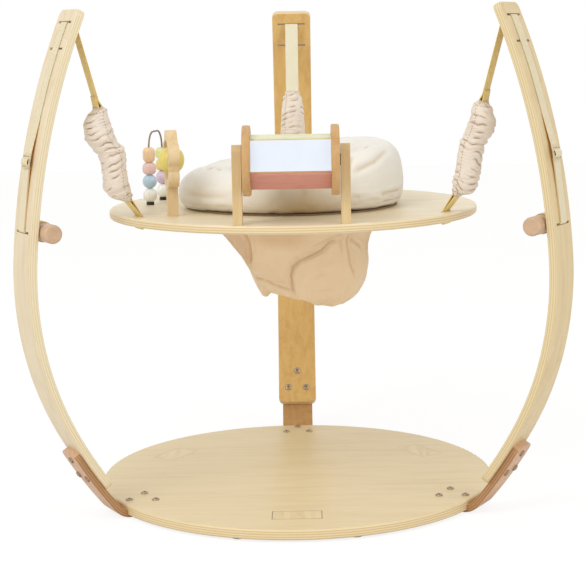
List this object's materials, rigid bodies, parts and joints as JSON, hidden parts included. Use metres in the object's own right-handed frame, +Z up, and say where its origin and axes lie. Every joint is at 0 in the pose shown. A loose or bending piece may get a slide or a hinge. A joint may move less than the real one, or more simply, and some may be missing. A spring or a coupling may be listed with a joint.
{
  "type": "baby activity jumper",
  "caption": "Wooden baby jumper: a round tray with a turning cloth seat and toys hangs by straps and springs from bent arms on a round base.",
  "frame": {"origin": "on the floor under the centre of the round base", "axes": "+Z up; +Y from the middle of the base towards the rear arm; the drum toy is on the -Y side, facing the viewer"},
  "size_m": [0.9198, 0.8599, 0.8524],
  "materials": {
    "birch_board": "clear lacquered birch plywood",
    "arm_wood": "clear lacquered bent laminate",
    "bracket_wood": "clear lacquered bent plywood, end grain",
    "dowel_wood": "sanded beech",
    "toy_wood": "sanded beech",
    "inlay_wood": "clear lacquered birch plywood",
    "webbing": "woven cotton webbing",
    "sleeve_cloth": "gathered cotton",
    "seat_cloth": "padded cotton",
    "bag_cloth": "cotton",
    "adjuster_plastic": "moulded",
    "spring_steel": "coiled wire",
    "bolt_steel": "nickel plated",
    "foot_rubber": "moulded",
    "ring_plastic": "moulded",
    "black_plastic": "moulded",
    "mirror_sheet": "acrylic mirror",
    "paint_green": "painted",
    "paint_pink": "painted",
    "paint_yellow": "painted",
    "paint_blue": "painted",
    "bead_yellow_paint": "painted",
    "bead_white_paint": "painted",
    "bead_blue_paint": "painted",
    "bead_pink_paint": "painted",
    "bead_peach_paint": "painted",
    "bead_lilac_paint": "painted",
    "bead_green_paint": "painted",
    "wire_steel": "bent wire"
  },
  "bodies": {
    "stand": {"base_plate": "birch_board", "base_inlays": "inlay_wood", "base_feet": "foot_rubber", "base_bolts": "bolt_steel", "arm_bolts": "bolt_steel", "arm_rear": "arm_wood", "bracket_rear": "bracket_wood", "strap_rear": "webbing", "adjuster_rear": "adjuster_plastic", "toggle_rear": "dowel_wood", "spring_rear": "spring_steel", "sleeve_rear": "sleeve_cloth", "arm_left": "arm_wood", "bracket_left": "bracket_wood", "strap_left": "webbing", "adjuster_left": "adjuster_plastic", "toggle_left": "dowel_wood", "spring_left": "spring_steel", "sleeve_left": "sleeve_cloth", "arm_right": "arm_wood", "bracket_right": "bracket_wood", "strap_right": "webbing", "adjuster_right": "adjuster_plastic", "toggle_right": "dowel_wood", "spring_right": "spring_steel", "sleeve_right": "sleeve_cloth"},
    "hanging_tray": {"tray": "birch_board", "tray_pegs": "dowel_wood", "tray_strap_rear": "webbing", "tray_strap_left": "webbing", "tray_strap_right": "webbing", "drum_post_left": "toy_wood", "drum_post_right": "toy_wood", "drum_axle": "dowel_wood", "drum_washers": "black_plastic", "flower_board": "toy_wood", "flower_rod": "dowel_wood", "bead_wire": "wire_steel", "wire_ferrules": "black_plastic"},
    "turning_seat": {"seat_ring": "ring_plastic", "seat_keeper": "ring_plastic", "seat_cushion": "seat_cloth", "seat_bag": "bag_cloth"},
    "drum": {"drum_disc_left": "toy_wood", "drum_disc_right": "toy_wood", "drum_core": "toy_wood", "drum_panel_mirror": "mirror_sheet", "drum_panel_green": "paint_green", "drum_panel_yellow": "paint_yellow", "drum_panel_blue": "paint_blue", "drum_panel_pink": "paint_pink"},
    "flower_bead_body": {"flower_bead": "bead_yellow_paint"},
    "bead_white_near_body": {"bead_white_near": "bead_white_paint"},
    "bead_blue_body": {"bead_blue": "bead_blue_paint"},
    "bead_pink_body": {"bead_pink": "bead_pink_paint"},
    "bead_peach_body": {"bead_peach": "bead_peach_paint"},
    "bead_white_far_body": {"bead_white_far": "bead_white_paint"},
    "bead_lilac_body": {"bead_lilac": "bead_lilac_paint"},
    "bead_yellow_body": {"bead_yellow": "bead_yellow_paint"},
    "bead_green_body": {"bead_green": "bead_green_paint"}
  },
  "joints": [
    {"name": "tray_bounce", "type": "slide", "parent": "stand", "child": "hanging_tray", "axis": [0, 0, 1], "range_m": [-0.1, 0.02], "stiffness_N_per_m": 1500, "springref_m": 0.034, "deforming": ["spring_rear", "spring_left", "spring_right", "sleeve_rear", "sleeve_left", "sleeve_right"]},
    {"name": "seat_swivel", "type": "hinge", "parent": "hanging_tray", "child": "turning_seat", "pos_m": [0, 0, 0.509], "axis": [0, 0, 1], "continuous": true},
    {"name": "drum_spin", "type": "hinge", "parent": "hanging_tray", "child": "drum", "pos_m": [0, -0.292, 0.61], "axis": [1, 0, 0], "continuous": true},
    {"name": "flower_bead_spin", "type": "hinge", "parent": "hanging_tray", "child": "flower_bead_body", "pos_m": [-0.20093, -0.14706, 0.6055], "axis": [0, 0, 1], "continuous": true},
    {"name": "bead_white_near_spin", "type": "hinge", "parent": "hanging_tray", "child": "bead_white_near_body", "pos_m": [-0.25581, 0.03636, 0.559], "axis": [0, 0, 1], "continuous": true},
    {"name": "bead_blue_spin", "type": "hinge", "parent": "hanging_tray", "child": "bead_blue_body", "pos_m": [-0.25581, 0.03636, 0.559], "axis": [0, 0, 1], "continuous": true},
    {"name": "bead_pink_spin", "type": "hinge", "parent": "hanging_tray", "child": "bead_pink_body", "pos_m": [-0.25581, 0.03636, 0.559], "axis": [0, 0, 1], "continuous": true},
    {"name": "bead_peach_spin", "type": "hinge", "parent": "hanging_tray", "child": "bead_peach_body", "pos_m": [-0.25581, 0.03636, 0.559], "axis": [0, 0, 1], "continuous": true},
    {"name": "bead_white_far_spin", "type": "hinge", "parent": "hanging_tray", "child": "bead_white_far_body", "pos_m": [-0.23985, 0.12087, 0.559], "axis": [0, 0, 1], "continuous": true},
    {"name": "bead_lilac_spin", "type": "hinge", "parent": "hanging_tray", "child": "bead_lilac_body", "pos_m": [-0.23985, 0.12087, 0.559], "axis": [0, 0, 1], "continuous": true},
    {"name": "bead_yellow_spin", "type": "hinge", "parent": "hanging_tray", "child": "bead_yellow_body", "pos_m": [-0.23985, 0.12087, 0.559], "axis": [0, 0, 1], "continuous": true},
    {"name": "bead_green_spin", "type": "hinge", "parent": "hanging_tray", "child": "bead_green_body", "pos_m": [-0.23985, 0.12087, 0.559], "axis": [0, 0, 1], "continuous": true}
  ]
}
